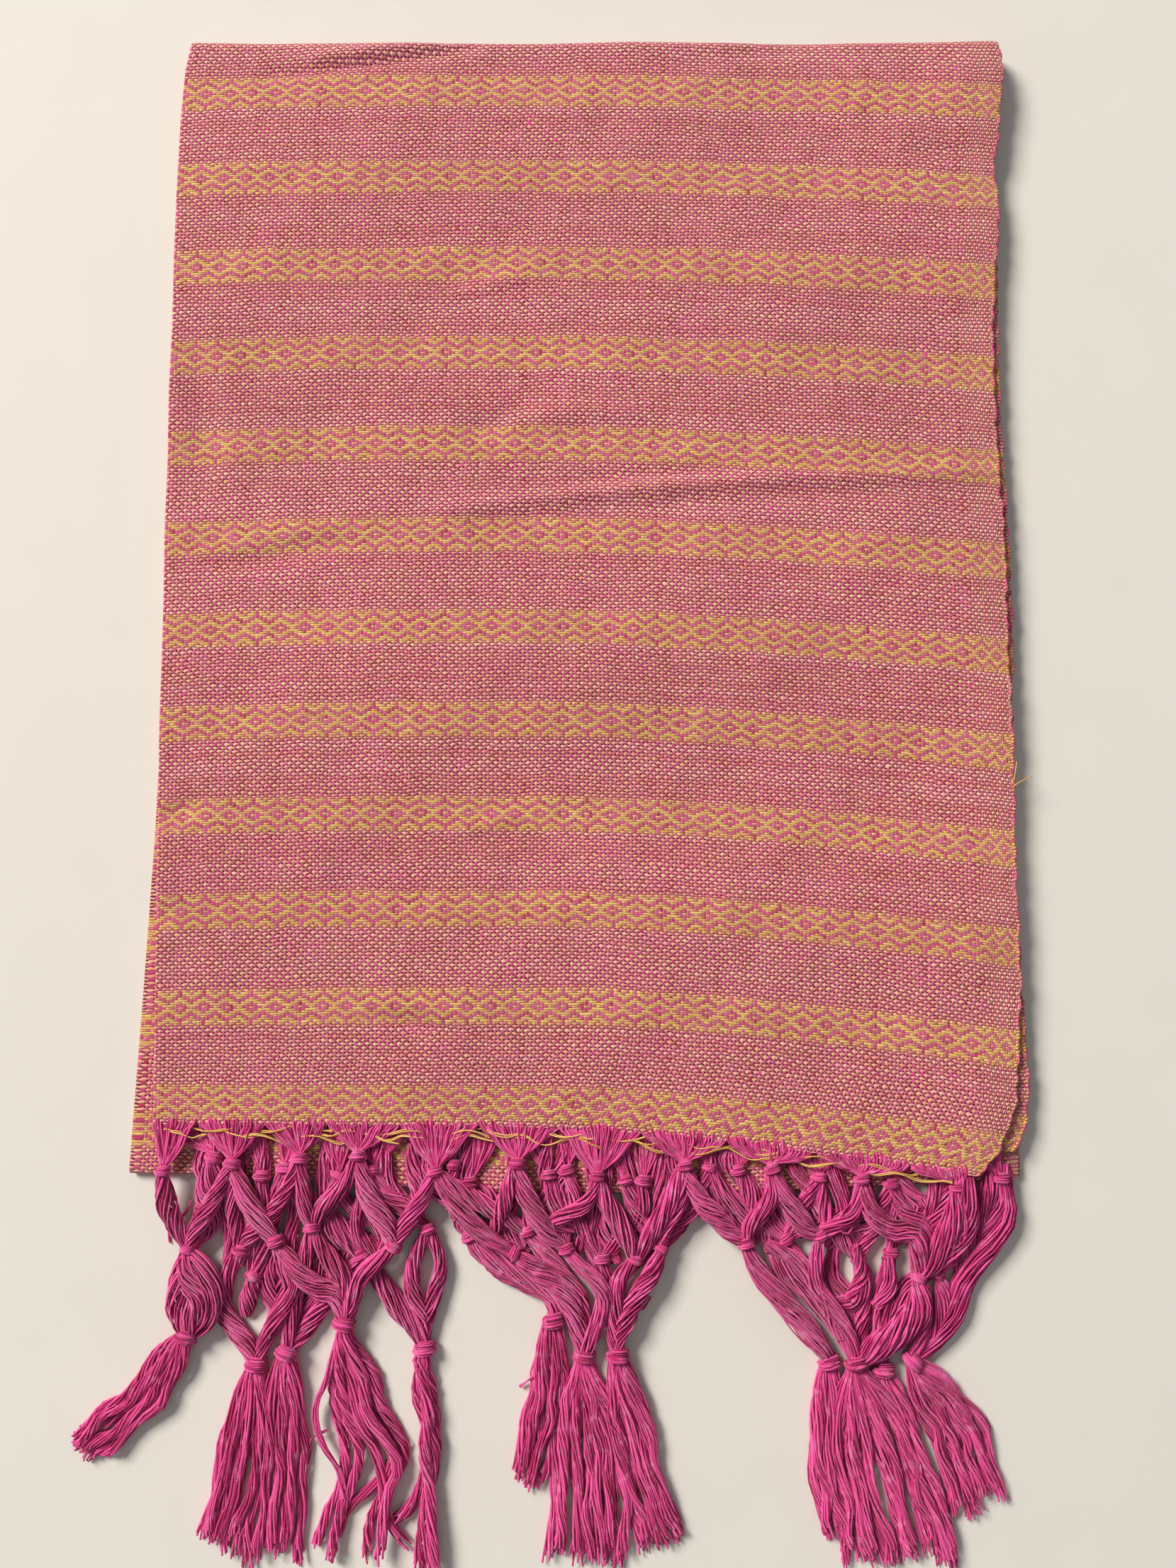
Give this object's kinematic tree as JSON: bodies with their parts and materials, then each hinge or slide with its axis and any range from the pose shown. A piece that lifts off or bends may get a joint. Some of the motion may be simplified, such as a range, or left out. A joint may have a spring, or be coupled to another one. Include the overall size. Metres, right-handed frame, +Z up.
{
  "type": "folded rebozo shawl",
  "caption": "Hand-woven rebozo shawl folded flat in layers, with banded cloth, selvedges on one side and a knotted, tasselled fringe at the near end.",
  "frame": {"origin": "centre of the folded shawl's footprint on the surface it lies on, tassels included", "axes": "+Z up out of the surface, +Y from the fringe to the crosswise fold, +X from the lengthwise folds to the selvedges"},
  "size_m": [0.3848, 0.6287, 0.0095],
  "materials": {
    "woven_cloth": "matt plain weave in pink and peach yarn with golden figured bands",
    "fringe_yarn": "twisted magenta yarn with a slight lustre"
  },
  "bodies": {
    "root": {"top_panel": "woven_cloth", "second_panel": "woven_cloth", "bottom_panels": "woven_cloth", "upper_fringe_net": "fringe_yarn", "lower_fringe_net": "fringe_yarn", "tassel_01": "fringe_yarn", "tassel_02": "fringe_yarn", "tassel_03": "fringe_yarn", "tassel_04": "fringe_yarn", "tassel_05": "fringe_yarn", "tassel_06": "fringe_yarn", "tassel_07": "fringe_yarn", "tassel_08": "fringe_yarn", "tassel_09": "fringe_yarn", "tassel_10": "fringe_yarn", "tassel_11": "fringe_yarn", "tassel_12": "fringe_yarn"}
  },
  "joints": []
}
